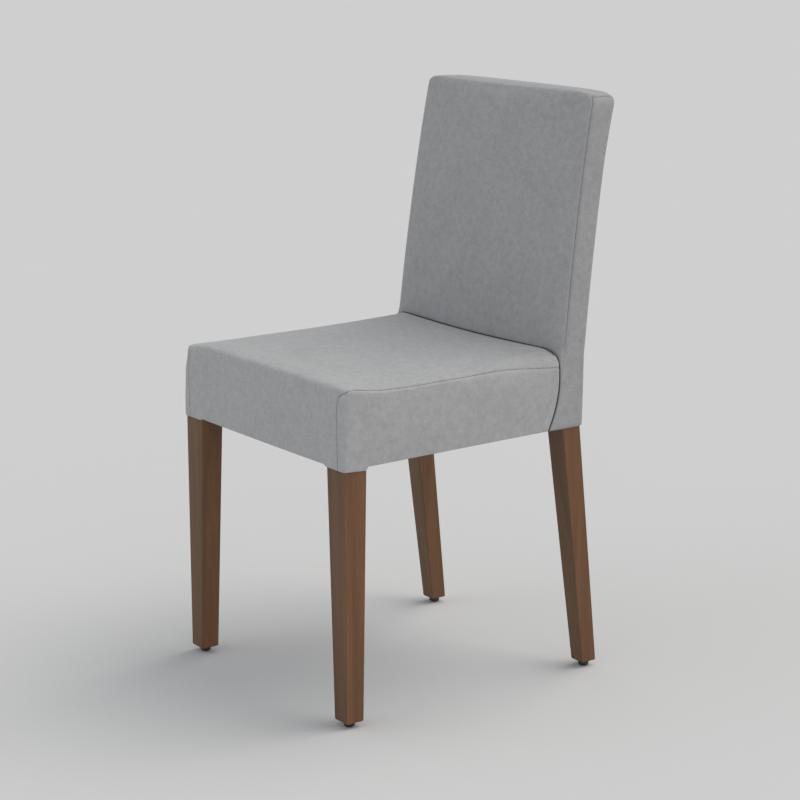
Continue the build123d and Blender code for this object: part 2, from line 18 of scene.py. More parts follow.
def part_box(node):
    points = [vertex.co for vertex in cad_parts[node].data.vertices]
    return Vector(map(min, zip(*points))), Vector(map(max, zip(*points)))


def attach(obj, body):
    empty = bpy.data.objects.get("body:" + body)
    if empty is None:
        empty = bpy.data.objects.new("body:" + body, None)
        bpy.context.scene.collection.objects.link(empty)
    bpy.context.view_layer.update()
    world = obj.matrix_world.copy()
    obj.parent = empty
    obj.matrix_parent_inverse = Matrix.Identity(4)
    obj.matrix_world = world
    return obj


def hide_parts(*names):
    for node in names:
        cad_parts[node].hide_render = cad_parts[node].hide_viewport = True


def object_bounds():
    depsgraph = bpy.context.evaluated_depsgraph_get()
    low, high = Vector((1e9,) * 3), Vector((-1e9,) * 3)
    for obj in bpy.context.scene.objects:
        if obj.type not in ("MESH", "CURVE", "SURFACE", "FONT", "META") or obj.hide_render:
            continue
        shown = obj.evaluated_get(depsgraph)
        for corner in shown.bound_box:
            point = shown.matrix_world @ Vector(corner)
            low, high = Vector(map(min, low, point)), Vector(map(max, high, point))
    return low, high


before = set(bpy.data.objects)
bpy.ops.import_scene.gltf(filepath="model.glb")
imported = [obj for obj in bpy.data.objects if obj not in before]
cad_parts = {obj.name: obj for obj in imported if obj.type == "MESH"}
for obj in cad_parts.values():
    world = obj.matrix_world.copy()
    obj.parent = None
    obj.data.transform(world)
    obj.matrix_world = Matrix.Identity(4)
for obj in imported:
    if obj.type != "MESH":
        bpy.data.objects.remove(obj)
cad_box = [list(corner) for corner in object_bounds()]
scene = bpy.context.scene
mm = 0.001
print("CAD box in metres:", cad_box)

# %% [markdown]
# The cushions fit the wooden frame, so their sizes start from the legs. Distances called reach run
# backwards from the front faces of the front legs, the way an upholsterer measures a seat.

# %% Sizes read from the legs
front_leg_low, front_leg_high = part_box("front_leg_right")
rear_leg_low, rear_leg_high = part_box("rear_leg_right")
leg_front = front_leg_low.y
half_front = front_leg_high.x
half_rear = rear_leg_high.x
front_leg_x = front_leg_high.x - front_leg_low.x
front_leg_y = front_leg_high.y - front_leg_low.y
chair_height = cad_box[1][2]
print("half the width over the front legs:", round(half_front, 4), "chair height:", round(chair_height, 4))


# %% [markdown]
# Both cushions are soft boxes. A grid on the six faces of a box gives even quads that bend well, and it
# keeps track of which point lies on which edge. A voxel remesh would work on any shape, but it forgets the
# edges, and the seams run along them. So each cushion starts as such a net, whose points are then moved
# into place.

# %% A net on a box
def box_net(columns, rows, levels):
    """Grid places on the six faces of a box, shared where faces meet, and the quads between them."""
    sizes = (columns, rows, levels)
    places, quads = {}, []
    for axis in range(3):
        across, along = (axis + 1) % 3, (axis + 2) % 3
        for end in (0, sizes[axis]):
            for a in range(sizes[across]):
                for b in range(sizes[along]):
                    corners = [(a, b), (a + 1, b), (a + 1, b + 1), (a, b + 1)]
                    if end == 0:
                        corners.reverse()
                    quad = []
                    for p, q in corners:
                        place = [0, 0, 0]
                        place[axis], place[across], place[along] = end, p, q
                        quad.append(places.setdefault(tuple(place), len(places)))
                    quads.append(quad)
    return np.array(list(places)), quads


def spread(low, high, step, fine_step, fine_places, reach):
    """Places from low to high, closer together near the fine places."""
    places = [low]
    while places[-1] < high - step / 2:
        nearest = min(abs(places[-1] - place) for place in fine_places)
        share = min(1, nearest / reach)
        places.append(places[-1] + fine_step + (step - fine_step) * share)
    stretch = (high - low) / (places[-1] - low)
    return low + (np.array(places) - low) * stretch


def mirrored(half_places):
    """Places from the middle outwards, repeated on the other side."""
    return np.concatenate([-half_places[:0:-1], half_places])


# %% [markdown]
# A sharp box becomes a cushion when its edges are rolled over. Near an edge a point has a distance to each
# of the two faces. Turning that pair of distances into a point on a quarter of an ellipse rounds the edge,
# and the two radii may differ: at the rear the seat's sides roll over 38 mm inwards but only 24 mm down.

# %% Rolling an edge over
tiny = 1e-9


def smooth_step(value, low, high):
    share = np.clip((value - low) / (high - low), 0, 1)
    return share * share * (3 - 2 * share)


def closeness(distance, radius):
    """One at the face, falling to zero a radius away from it."""
    return np.clip(1 - distance / radius, 0, 1)


def round_off(first, second, first_radius, second_radius):
    """Two distances from two faces, after the edge between these faces is rounded."""
    a, b = closeness(first, first_radius), closeness(second, second_radius)
    pull = np.maximum(a, b) / np.maximum(np.hypot(a, b), tiny)
    turned_first = np.where(a > 0, first_radius * (1 - a * pull), first)
    turned_second = np.where(b > 0, second_radius * (1 - b * pull), second)
    return turned_first, turned_second


def roll_top(side, front, rear, top, radii, height, corner_power):
    """Rolls the top's edges over: radii for sides, front and rear, and a low power for round corners."""
    a = closeness(side, radii[0])
    c = np.maximum(closeness(front, radii[1]), closeness(rear, radii[2]))
    edge = np.clip((a**corner_power + c**corner_power) ** (1 / corner_power), 0, 1)
    up = closeness(top, height)
    pull = np.maximum(edge, up) / np.maximum(np.hypot(edge, up), tiny)
    rolled = []
    for distance, radius in zip((side, front, rear), radii):
        near = closeness(distance, radius)
        rolled.append(np.where(near > 0, radius * (1 - near * pull), distance))
    rolled.append(np.where(up > 0, height * (1 - up * pull), top))
    return rolled


# %% [markdown]
# The seat is a foam block on a wooden box frame. Its cloth is pulled tight over the front edge and stapled
# under the rails, so the walls swell only a little and the top has a low crown. The edges are crisp at the
# front, where the seams hold them, and roll over more softly towards the rear. Stiffer foam makes a low lip
# along the front, which fades at the left corner, and the top dips a little before the back. The rear wall
# draws forward low down, where the back cushion comes round it. All this could be sculpted by hand, but as
# formulas each trait has one number that can be changed.

# %% The seat cushion's net
seat_cover_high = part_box("seat_cover_main")[1]
seat_underside, seat_edge_top = 377 * mm, 483 * mm
cloth_fold = 3 * mm
seat_reach = seat_cover_high.y + cloth_fold - leg_front
cover_proud = 2.4 * mm
seat_depth = seat_reach + cover_proud
seat_height = seat_edge_top - seat_underside
seat_half = half_front + cover_proud
seat_rear_half = half_rear + cover_proud
crisp_roll, soft_roll = (14 * mm, 8 * mm), (38 * mm, 24 * mm)
front_roll, rear_roll = 6.5 * mm, 1.2 * mm
front_crispness, front_edge = 0.4, 25 * mm
seat_wall = seat_height - crisp_roll[1]
seat_swell = 1.6 * mm
seat_bow = 1.5 * mm
under_rise, top_rise, front_lip = 4.5 * mm, 14 * mm, 8 * mm
seat_crown, rear_dip = 5 * mm, 3.5 * mm
left_fade, soft_from, seat_roll_power = 45 * mm, 0.3, 3
leg_corner, wall_corner, top_corner = 4.3 * mm, 4.6 * mm, 11 * mm
wall_growth, top_growth = (0.2, 0.6), (0.66, 1)
rear_corner_low, rear_corner_more = 2.5 * mm, 4 * mm
tuck_depth, tuck_height, tuck_from = 20 * mm, 0.75, 0.8
lip_run, left_lip_run, rise_power = (10 * mm, 70 * mm), (-1, -0.65), 2.5
round_power, flat_power, steep_power = 6, 8, 30
seam_from_corner = 17 * mm
hem_width, narrow_hem = 12 * mm, 2.5 * mm
cloth_under_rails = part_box("seat_rail_left")[0].z - 0.4 * mm
leg_step, step_growth, step_blur, step_height = 2.5 * mm, 2.5 * mm, 0.6 * mm, 30 * mm

even, fine = 6.5 * mm, 1.7 * mm
leg_inner_x = half_front - front_leg_x
fine_reach, fine_reach_up = 26 * mm, 20 * mm
fine_across = [seat_half - seam_from_corner, leg_inner_x, seat_half]
fine_up = [0, seat_height - 4 * mm, seat_height]
seat_x = mirrored(spread(0, seat_half, even, fine, fine_across, fine_reach))
seat_y = spread(0, seat_depth, even, fine, [0, front_leg_y + cover_proud, seat_depth], fine_reach)
seat_z = spread(0, seat_height, even, fine, fine_up, fine_reach_up)
seat_grid, seat_quads = box_net(len(seat_x) - 1, len(seat_y) - 1, len(seat_z) - 1)
print("seat net:", len(seat_grid), "points,", len(seat_quads), "quads")


# %% The seat cushion's form
def seat_tuck(share):
    """How far the rear wall draws forward at a share of the wall's height."""
    return tuck_depth * np.clip(1 - share / tuck_height, 0, 1) ** 2


def top_lift(across, depth):
    """How far the top stands above its lowest edge: a lip in front, less at the left, a rise behind."""
    lip = front_lip * smooth_step(across, *left_lip_run) * (1 - smooth_step(depth, *lip_run))
    return lip + top_rise * (depth / seat_depth) ** rise_power


def over_front_leg(across, depth):
    """One where the cloth passes over a front leg, zero elsewhere."""
    beside = smooth_step(across, leg_inner_x - step_blur, leg_inner_x + step_blur)
    return beside * (1 - smooth_step(depth, front_leg_y - step_blur, front_leg_y + step_blur))


def under_hem(z, edge):
    """Heights on the underside: a turned hem at the edge, then cloth just under the rails."""
    width = np.where(z < cloth_under_rails, hem_width, narrow_hem)
    return z + (cloth_under_rails - z) * smooth_step(edge, width / 2, width)


def seat_points(grid):
    """Every point of the seat's net in its place on the chair."""
    x, depth, height = seat_x[grid[:, 0]], seat_y[grid[:, 1]], seat_z[grid[:, 2]]
    sign = np.sign(x)
    side, front, rear, top = seat_half - abs(x), depth, seat_depth - depth, seat_height - height
    softness = smooth_step(depth, soft_from * seat_depth, seat_depth)
    side_roll = crisp_roll[0] + (soft_roll[0] - crisp_roll[0]) * softness
    roll_height = crisp_roll[1] + (soft_roll[1] - crisp_roll[1]) * softness
    crispness = front_crispness * closeness(front, front_edge)
    crispness = crispness * smooth_step(x, -seat_half, -seat_half + left_fade)
    roll_height = roll_height * (1 - crispness)
    radii = (side_roll, front_roll, rear_roll)
    side, front, rear, top = roll_top(side, front, rear, top, radii, roll_height, seat_roll_power)
    low = seat_height - top
    wall_share = np.clip(low / seat_wall, 0, 1)
    front_corner = leg_corner + wall_corner * smooth_step(wall_share, *wall_growth)
    front_corner = front_corner + top_corner * smooth_step(wall_share, *top_growth)
    rear_corner = rear_corner_low + rear_corner_more * wall_share**flat_power
    side, front = round_off(side, front, front_corner, front_corner)
    side, rear = round_off(side, rear, rear_corner, rear_corner)
    edge = np.minimum(side, front)
    depth = np.where(front < seat_depth / 2, front, seat_depth - rear)
    along = depth / seat_depth
    half = seat_half + (seat_rear_half - seat_half) * along
    across = sign * (seat_half - side) / seat_half
    swell = seat_swell * (1 - (2 * wall_share - 1) ** 2)
    at_side = np.sign(across) * np.abs(across) ** steep_power * (1 - np.abs(2 * along - 1) ** flat_power)
    at_front = (1 - along) ** steep_power
    x = across * half + swell * at_side
    y = leg_front - cover_proud + depth
    y = y - (swell * (1 - across**flat_power) + seat_bow * (1 - across**2)) * at_front
    y = y - seat_tuck(wall_share) * smooth_step(along, tuck_from, 1)
    share = low / seat_height
    rise = under_rise * along * (1 - share) + top_lift(across, depth) * share
    crown = seat_crown * (1 - across**round_power) * (1 - at_front) * (1 - along**round_power)
    crown = crown - rear_dip * (1 - across**2) ** 2 * along**flat_power
    z = seat_underside + low + rise + crown * share**round_power
    z = np.where(height == 0, under_hem(z, edge), z)
    on_leg = over_front_leg(np.abs(across) * half, depth - cover_proud)
    step = leg_step + step_growth * np.clip(depth / front_leg_y, 0, 1)
    z = z - step * on_leg * (1 - smooth_step(low, 0, step_height))
    return np.stack([x, y, z], axis=1)


# %% [markdown]
# A mesh object needs points, faces and a place in the scene. One helper makes it, shades it smooth and lets
# it ride on the chair's only body, since nothing on this chair moves.

# %% Making a piece
def placed(name, data):
    """A new object with this data, linked to the scene."""
    made = bpy.data.objects.new(name, data)
    scene.collection.objects.link(made)
    return made


def new_piece(name, points, faces):
    mesh = bpy.data.meshes.new(name)
    mesh.from_pydata([tuple(point) for point in points], [], faces)
    mesh.update()
    mesh.shade_smooth()
    piece = placed(name, mesh)
    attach(piece, "root")
    return piece


def coordinates(mesh):
    flat = np.empty(len(mesh.vertices) * 3, np.float32)
    mesh.vertices.foreach_get("co", flat)
    return flat.reshape(-1, 3).astype(float)


def place_points(mesh, points):
    mesh.vertices.foreach_set("co", points.astype(np.float32).ravel())
    mesh.update()


seat = new_piece("seat_cushion", seat_points(seat_grid), seat_quads)
print(seat.name, "size in mm:", [round(size / mm, 1) for size in seat.dimensions])

# %% [markdown]
# The back is a thin padded slab that leans back on one long arc. Its cloth goes up the front, over the top
# and down the rear in one panel, and a strip about 43 mm wide closes each side. Low down it tucks in behind
# the seat.

# %% The back cushion's net
back_low = 381.5 * mm
back_height = chair_height - back_low
back_thickness = 43 * mm
lean_start, lean_back, lean_radius = 486 * mm, 55.4 * mm, 4560 * mm
back_front_reach = seat_reach + 5 * mm
back_lower_reach = 424 * mm
joint_gap = 0.5 * mm
gusset_proud = 3 * mm
back_half_low = half_rear + gusset_proud
stile_half_top = 198.5 * mm
back_half_top = stile_half_top + gusset_proud
back_rolls, back_roll_power = (20 * mm, 4 * mm, 9 * mm), 2
corner_run = 36 * mm
crisp_top, round_top = 4 * mm, 17 * mm
shoulder_fall, shoulder_width = 2.8 * mm, 45 * mm
tight_corner, full_corner, rear_corner_back = 2.5 * mm, 11.5 * mm, 3 * mm
tuck_top, lean_blend = lean_start - 8 * mm, (lean_start - 12 * mm, lean_start + 8 * mm)
corner_growth = lean_start - 14 * mm, lean_start + 20 * mm
flare_run = chair_height - 110 * mm, chair_height - 5 * mm
fall_run = chair_height - 40 * mm, chair_height
front_fullness, rear_fullness = 5 * mm, 1.5 * mm
fullness_start, fullness_span = 0.05, 0.9
top_fall = 1.5 * mm
top_flare = 3.5 * mm

back_fine_reach, thin_even, thin_reach = 24 * mm, 4 * mm, 10 * mm
back_x = mirrored(spread(0, back_half_low, even, fine, [back_half_low], back_fine_reach))
back_y = spread(0, back_thickness, thin_even, fine, [0, back_thickness], thin_reach)
back_z = spread(0, back_height, even, fine, [back_height, lean_start - back_low], back_fine_reach)
back_grid, back_quads = box_net(len(back_x) - 1, len(back_y) - 1, len(back_z) - 1)
print("back net:", len(back_grid), "points,", len(back_quads), "quads")


# %% The back cushion's form
def lean_reach(height):
    """Reach of the back's front face at a height, on one arc from the seat to the top."""
    rise = chair_height - lean_start
    chord = math.hypot(lean_back, rise)
    depth = math.sqrt(lean_radius**2 - (chord / 2) ** 2)
    centre_reach = back_front_reach + lean_back / 2 + depth * rise / chord
    centre_height = lean_start + rise / 2 - depth * lean_back / chord
    return centre_reach - np.sqrt(lean_radius**2 - (height - centre_height) ** 2)


def back_points(grid):
    """Every point of the back's net in its place on the chair."""
    x, depth, height = back_x[grid[:, 0]], back_y[grid[:, 1]], back_z[grid[:, 2]]
    bottom = height == 0
    sign = np.sign(x)
    side, front, rear, top = back_half_low - abs(x), depth, back_thickness - depth, back_height - height
    roll_height = crisp_top + (round_top - crisp_top) * closeness(side, corner_run)
    side, front, rear, top = roll_top(side, front, rear, top, back_rolls, roll_height, back_roll_power)
    height = back_low + back_height - top
    upper = smooth_step(height, *lean_blend)
    front_corner = tight_corner + (full_corner - tight_corner) * smooth_step(height, *corner_growth)
    side, front = round_off(side, front, front_corner, front_corner)
    side, rear = round_off(side, rear, rear_corner_back, rear_corner_back)
    depth = np.where(front < back_thickness / 2, front, back_thickness - rear)
    share = depth / back_thickness
    half = back_half_low + (back_half_top - back_half_low) * (height - back_low) / back_height
    across = sign * (back_half_low - side) / back_half_low
    low_front = seat_reach + joint_gap - seat_tuck((height - back_low) / (tuck_top - back_low))
    lean = lean_reach(np.maximum(height, lean_start))
    front_reach = low_front + (lean - low_front) * upper
    rear_share = np.clip((height - back_low) / (lean_start - back_low), 0, 1)
    rear_reach = back_lower_reach + (lean + back_thickness - back_lower_reach) * rear_share
    rise_share = np.clip((height - lean_start) / (chair_height - lean_start), 0, 1)
    arch = np.sin(np.pi * (rise_share * fullness_span + fullness_start))
    fullness = np.sqrt(arch) * (1 - across**2) * upper
    front_reach = front_reach - front_fullness * fullness
    flare = top_flare * smooth_step(height, *flare_run)
    rear_reach = rear_reach + rear_fullness * fullness + flare
    y = leg_front + front_reach + (rear_reach - front_reach) * share
    shoulder = shoulder_fall * closeness(back_half_low * (1 - np.abs(across)), shoulder_width) ** 2
    z = height - (top_fall * share + shoulder) * smooth_step(height, *fall_run)
    z = np.where(bottom, under_hem(z, np.minimum(side, rear)), z)
    return np.stack([across * half, y, z], axis=1)


back = new_piece("back_cushion", back_points(back_grid), back_quads)
print(back.name, "size in mm:", [round(size / mm, 1) for size in back.dimensions])


# %% [markdown]
# Each seam is a line on a cushion. On the seat it climbs the front face a little in from the corner, turns
# over with a small radius and follows the side's top edge to the rear. A line drawn in the air is carried
# onto the cushion by rays, because the nearest point of a rounded edge would pull the line off its height.
# On the back the seam runs round the side strip, along the edges of the net, so nearest points are good
# enough there.

# %% Where the seams run
turn_start, turn_run, seam_lift = 470 * mm, seam_from_corner + 10 * mm, 1 * mm
seam_step, turn_steps, seam_end_gap = 2.5 * mm, 14, 2 * mm
lift_run = 120 * mm
rear_drop, drop_run, drop_past = 11 * mm, 130 * mm, 12 * mm
middle_rise, middle_run = 2.2 * mm, (40 * mm, 190 * mm)
corner_half_turn = 9 * mm
ray_start, ray_reach = 30 * mm, 60 * mm
smoothing_passes = 9
strip_row = 2


def surface_tree(piece):
    """The cushion's surface, ready for rays and nearest points."""
    mesh = piece.data
    return BVHTree.FromPolygons([v.co for v in mesh.vertices], [list(p.vertices) for p in mesh.polygons])


def seat_seam_aims(side):
    """Start and direction of a ray for each point of one side's seam, from the front's lower edge on."""
    front_y = leg_front - cover_proud
    corner_height = seat_edge_top + seam_lift + top_lift(side, 0)
    line = [(0.0, height, 0.0) for height in np.arange(seat_underside - leg_step, turn_start, seam_step)]
    for angle in np.linspace(0, math.pi / 2, turn_steps)[1:]:
        climb = (corner_height - turn_start) * math.sin(angle)
        line.append((turn_run * (1 - math.cos(angle)), turn_start + climb, math.sin(angle)))
    end = seam_from_corner + seat_depth - seam_end_gap
    for along in np.arange(turn_run + seam_step, end, seam_step):
        behind = along - seam_from_corner
        front_lift = top_lift(side, 0) * (1 - smooth_step(behind, 0, lift_run))
        drop = rear_drop * smooth_step(along, end - drop_run, end + drop_past)
        drop = drop - middle_rise * smooth_step(behind, *middle_run)
        above = 1 - smooth_step(along, soft_from * seat_depth, seat_depth)
        line.append((along, seat_edge_top + seam_lift * above + front_lift - drop, above))
    aims = []
    for along, height, above in line:
        turned = smooth_step(along, seam_from_corner - corner_half_turn, seam_from_corner + corner_half_turn)
        round_corner = turned * math.pi / 2
        inward = Vector((-side * math.sin(round_corner), math.cos(round_corner), 0))
        direction = (inward - Vector((0, 0, above))).normalized()
        across = seat_half - seam_from_corner + min(along, seam_from_corner)
        place = Vector((side * across, front_y + max(along - seam_from_corner, 0), height))
        aims.append((place - direction * ray_start, direction))
    return aims


def shot(piece, aims):
    """Where the rays meet the cushion, with small jumps smoothed out."""
    tree = surface_tree(piece)
    hits = [tree.ray_cast(start, direction, ray_reach)[0] for start, direction in aims]
    path = [hit for hit in hits if hit]
    for _ in range(smoothing_passes):
        path[1:-1] = [(a + b * 2 + c) / 4 for a, b, c in zip(path, path[1:], path[2:])]
    return [tree.find_nearest(point)[0] for point in path]


def back_seam(points, column):
    """Points round one side strip: up the front edge above the seat, over the top and down the rear."""
    last_row, last_level = len(back_y) - 1, len(back_z) - 1
    number = {tuple(place): index for index, place in enumerate(back_grid)}
    first_level = int(np.searchsorted(back_z, lean_start - back_low))
    path = [(column, strip_row, level) for level in range(first_level, last_level + 1)]
    path += [(column, row, last_level) for row in range(strip_row + 1, last_row + 1)]
    path += [(column, last_row, level) for level in range(last_level - 1, -1, -1)]
    return [Vector(points[number[place]]) for place in path]


def snapped(piece, path):
    """The path moved to the nearest points of the cushion."""
    tree = surface_tree(piece)
    return [tree.find_nearest(point)[0] for point in path]


seat_aims = {"left": seat_seam_aims(-1), "right": seat_seam_aims(1)}
seat_seams = {name: shot(seat, aims) for name, aims in seat_aims.items()}
back_start = back_points(back_grid)
back_seams = {"left": back_seam(back_start, 0), "right": back_seam(back_start, len(back_x) - 1)}
print("seam points:", {name: len(path) for name, path in seat_seams.items()}, len(back_seams["left"]))

# %% [markdown]
# Foam pushes its cover outwards, and the cover is held where it is sewn or stapled. Blender's Cloth does
# the same: the held points are pinned, an inner pressure pushes the rest out, and gravity is off because
# the foam carries the cloth. The result is written into the mesh, and no point may move further than a set
# distance.

# %% Blowing the covers up between their seams
def point_tree(points):
    """The points, ready for a search of the nearest one."""
    tree = KDTree(len(points))
    for index, point in enumerate(points):
        tree.insert(point, index)
    tree.balance()
    return tree


def near_lines(points, paths, distance):
    """Which points lie within a distance of any of the paths."""
    tree = point_tree([point for path in paths for point in path])
    return [index for index, point in enumerate(points) if tree.find(Vector(point))[2] < distance]


def puff(piece, held, pressure, farthest):
    """Swells a cushion by simulation, with the held points pinned."""
    before = coordinates(piece.data)
    pins = piece.vertex_groups.new(name="held")
    pins.add(held, 1.0, "REPLACE")
    cloth = piece.modifiers.new("puff", "CLOTH")
    cloth.settings.vertex_group_mass = pins.name
    cloth.settings.quality = 5
    cloth.settings.mass = 0.3
    cloth.settings.tension_stiffness = 30
    cloth.settings.compression_stiffness = 30
    cloth.settings.shear_stiffness = 15
    cloth.settings.bending_stiffness = 1
    cloth.settings.use_pressure = True
    cloth.settings.uniform_pressure_force = pressure
    cloth.settings.effector_weights.gravity = 0
    cloth.collision_settings.use_collision = False
    cloth.point_cache.frame_end = puff_frames
    for number in range(1, puff_frames + 1):
        scene.frame_set(number)
    simulated = piece.evaluated_get(bpy.context.evaluated_depsgraph_get())
    move = coordinates(simulated.data) - before
    piece.modifiers.remove(cloth)
    piece.vertex_groups.remove(pins)
    scene.frame_set(1)
    length = np.maximum(np.linalg.norm(move, axis=1, keepdims=True), tiny)
    move = move / length * farthest * np.tanh(length / farthest)
    place_points(piece.data, before + move)
    print(piece.name, "swelled by up to", round(float(length.max()) / mm, 2), "mm, kept to", farthest / mm)


def on_front_edge(point):
    """Whether a point lies on the seat's front edge, which the stiffer foam there keeps straight."""
    return point[1] < leg_front + front_edge / 2 and point[2] > front_edge_low


sewn, puff_frames = 4 * mm, 20
front_edge_low, back_held_top = seat_edge_top - 12 * mm, lean_start - 6 * mm
seat_pressure, back_pressure, farthest_move = 0.8, 1.0, 2 * mm
seat_start = coordinates(seat.data)
seat_held = set(near_lines(seat_start, seat_seams.values(), sewn))
seat_held |= {index for index, place in enumerate(seat_grid) if place[2] <= 1 or place[1] == len(seat_y) - 1}
seat_held |= {index for index, point in enumerate(seat_start) if on_front_edge(point)}
back_held = set(near_lines(back_start, back_seams.values(), sewn))
back_held |= {index for index, point in enumerate(back_start) if point[2] < back_held_top}
puff(seat, list(seat_held), seat_pressure, farthest_move)
puff(back, list(back_held), back_pressure, farthest_move)
print("held points:", len(seat_held), len(back_held))


# %% [markdown]
# A plain seam is a narrow ditch: the two layers turn inwards, and the cloth beside them stands up a little
# and puckers between the stitches. After one subdivision the mesh is fine enough to push that ditch into
# it. The thread at its bottom is a thin tube that follows the same line.

# %% Sewing the seams
ditch_width, ditch_reach = 1.5 * mm, 6
lip_share, lip_place, lip_spread = 0.35, 2.6, 1.4
pucker_place, pucker_spread = 2.2, 2
pucker_step, wander, wander_step = 9 * mm, 2.3, 31 * mm
faint_ditch, full_ditch = 0.5 * mm, 0.9 * mm
faint_pucker, full_pucker, back_pucker = 0.08 * mm, 0.1 * mm, 0.16 * mm
faint_thread, full_thread = 0.3 * mm, 0.45 * mm
thread_fade, thread_start = 60 * mm, 0.1


def refine(piece):
    """One level of subdivision, written into the mesh."""
    finer = piece.modifiers.new("finer", "SUBSURF")
    finer.levels = 1
    finer.subdivision_type = "CATMULL_CLARK"
    evaluated = piece.evaluated_get(bpy.context.evaluated_depsgraph_get())
    mesh = bpy.data.meshes.new_from_object(evaluated)
    piece.modifiers.remove(finer)
    old = piece.data
    piece.data = mesh
    bpy.data.meshes.remove(old)
    mesh.name = piece.name
    mesh.shade_smooth()


def sew(piece, paths, depth, width, pucker):
    """Pushes a ditch into the cushion along each path, with small puckers beside it."""
    points = coordinates(piece.data)
    normals = np.array([vertex.normal for vertex in piece.data.vertices])
    for path in paths:
        tree = point_tree(path)
        lengths = np.concatenate([[0], np.cumsum([(b - a).length for a, b in zip(path, path[1:])])])
        for number, point in enumerate(points):
            found, index, gap = tree.find(Vector(point))
            if gap > ditch_reach * width:
                continue
            start, end = path[max(index - 1, 0)], path[min(index + 1, len(path) - 1)]
            line = (end - start).normalized()
            offset = Vector(point) - found
            gap = (offset - line * offset.dot(line)).length
            along = lengths[index] + offset.dot(line)
            ditch = -depth * math.exp(-((gap / width) ** 2))
            lip = lip_share * depth * math.exp(-(((gap / width - lip_place) / lip_spread) ** 2))
            wandering = wander * math.sin(along / wander_step)
            ripple = pucker * math.sin(along / pucker_step * math.tau + wandering)
            ripple *= math.exp(-(((gap / width - pucker_place) / pucker_spread) ** 2))
            points[number] += normals[number] * (ditch + lip + ripple)
    place_points(piece.data, points)


def thread(name, path, radius, fade=0.0):
    """A thin tube along a seam, turned from a curve into a mesh, thin over a faded length at its start."""
    curve = bpy.data.curves.new(name, "CURVE")
    curve.dimensions = "3D"
    curve.bevel_depth = radius
    curve.bevel_resolution = 1
    curve.use_fill_caps = True
    line = curve.splines.new("POLY")
    line.points.add(len(path) - 1)
    for point, place in zip(line.points, path):
        point.co = (*place, 1)
        point.radius = min(1, thread_start + (place - path[0]).length / fade) if fade else 1
    drawn = bpy.data.objects.new("drawn_seam", curve)
    mesh = bpy.data.meshes.new_from_object(drawn)
    bpy.data.objects.remove(drawn)
    bpy.data.curves.remove(curve)
    mesh.name = name
    mesh.shade_smooth()
    piece = placed(name, mesh)
    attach(piece, "root")
    return piece


refine(seat)
refine(back)
seat_seams = {name: shot(seat, aims) for name, aims in seat_aims.items()}
back_seams = {name: snapped(back, path) for name, path in back_seams.items()}
sew(seat, [seat_seams["left"]], faint_ditch, ditch_width, faint_pucker)
sew(seat, [seat_seams["right"]], full_ditch, ditch_width, full_pucker)
sew(back, back_seams.values(), full_ditch, ditch_width, back_pucker)
threads = []
for (name, path), radius in zip(seat_seams.items(), (faint_thread, full_thread)):
    threads.append(thread(f"seat_seam_{name}", snapped(seat, path), radius))
for name, path in back_seams.items():
    threads.append(thread(f"back_seam_{name}", snapped(back, path), full_thread, thread_fade))
print("faces:", [len(piece.data.polygons) for piece in [seat, back, *threads]])

# %% [markdown]
# Where the back meets the seat, a thin near-black tube lies in the joint, a painted shadow: it makes the
# dark line round the seat's rear, where the crevice is only in shade. It follows the ring of net points
# along that edge, a little inside the cloth.

# %% The painted shadow in the joint
def joint_shadow_path(points):
    """Points up one side of the seat's rear edge, across the top and down the other side."""
    last_column, last_row, last_level = len(seat_x) - 1, len(seat_y) - 1, len(seat_z) - 1
    number = {tuple(place): index for index, place in enumerate(seat_grid)}
    ring = [(0, level) for level in range(last_level)]
    ring += [(column, last_level) for column in range(last_column + 1)]
    ring += [(last_column, level) for level in range(last_level - 1, -1, -1)]
    path = []
    for column, level in ring:
        edge = points[number[(column, last_row, level)]]
        cloth = points[number[(column, last_row - joint_shadow_rows, level)]]
        inset = joint_shadow_radius * (1 - abs(cloth[0]) / seat_half < side_share)
        across = cloth[0] - math.copysign(inset, cloth[0])
        path.append(Vector((across, edge[1] + joint_gap + joint_shadow_set_back, cloth[2] - joint_shadow_sink)))
    return path


# Size and place of the painted shadow tube, a little behind and below the seat's rear edge.
joint_shadow_radius, joint_shadow_rows = 0.8 * mm, 1
joint_shadow_set_back, joint_shadow_sink, side_share = 0.35 * mm, 0.6 * mm, 0.06
# A near-black tube as a painted shadow along the seat's rear joint.
joint_shadow_tube = thread("joint_painted_shadow", joint_shadow_path(seat_start), joint_shadow_radius)
print(joint_shadow_tube.name, "has", len(joint_shadow_tube.data.polygons), "faces")

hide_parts("seat_foam", "seat_cover_main", "seat_cover_side_left", "seat_cover_side_right")
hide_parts("back_foam", "back_cover_main", "back_cover_side_left", "back_cover_side_right")

# %% [markdown]
# Under the seat a thin black sheet hides the webbing. It is stapled to the rails, so it is flat there and
# sags a few millimetres in the open middle. A grid with its corners left out round the legs is enough: the
# sag is a formula, and a second layer of points gives the sheet its thickness.

# %% The dust sheet
sheet_low, sheet_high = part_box("dust_cover")
sheet_thickness = 0.8 * mm
leg_room, sheet_inset, rail_cover = 2 * mm, 9 * mm, 16 * mm
sag, ripple_height = 5 * mm, 1.2 * mm
ripples_across, ripples_along, ripple_seed = 5, 22, 0.3
front_rows, middle_rows, rear_rows, row_slack = 5, 44, 4, 1e-6
middle_columns, edge_columns = 22, 6
sheet_slope = (half_front - half_rear) / (rear_leg_low.y - leg_front)


def sheet_half(y):
    """Half the sheet's width at a Y: it narrows with the side rails."""
    return half_front - sheet_inset - sheet_slope * (y - leg_front)


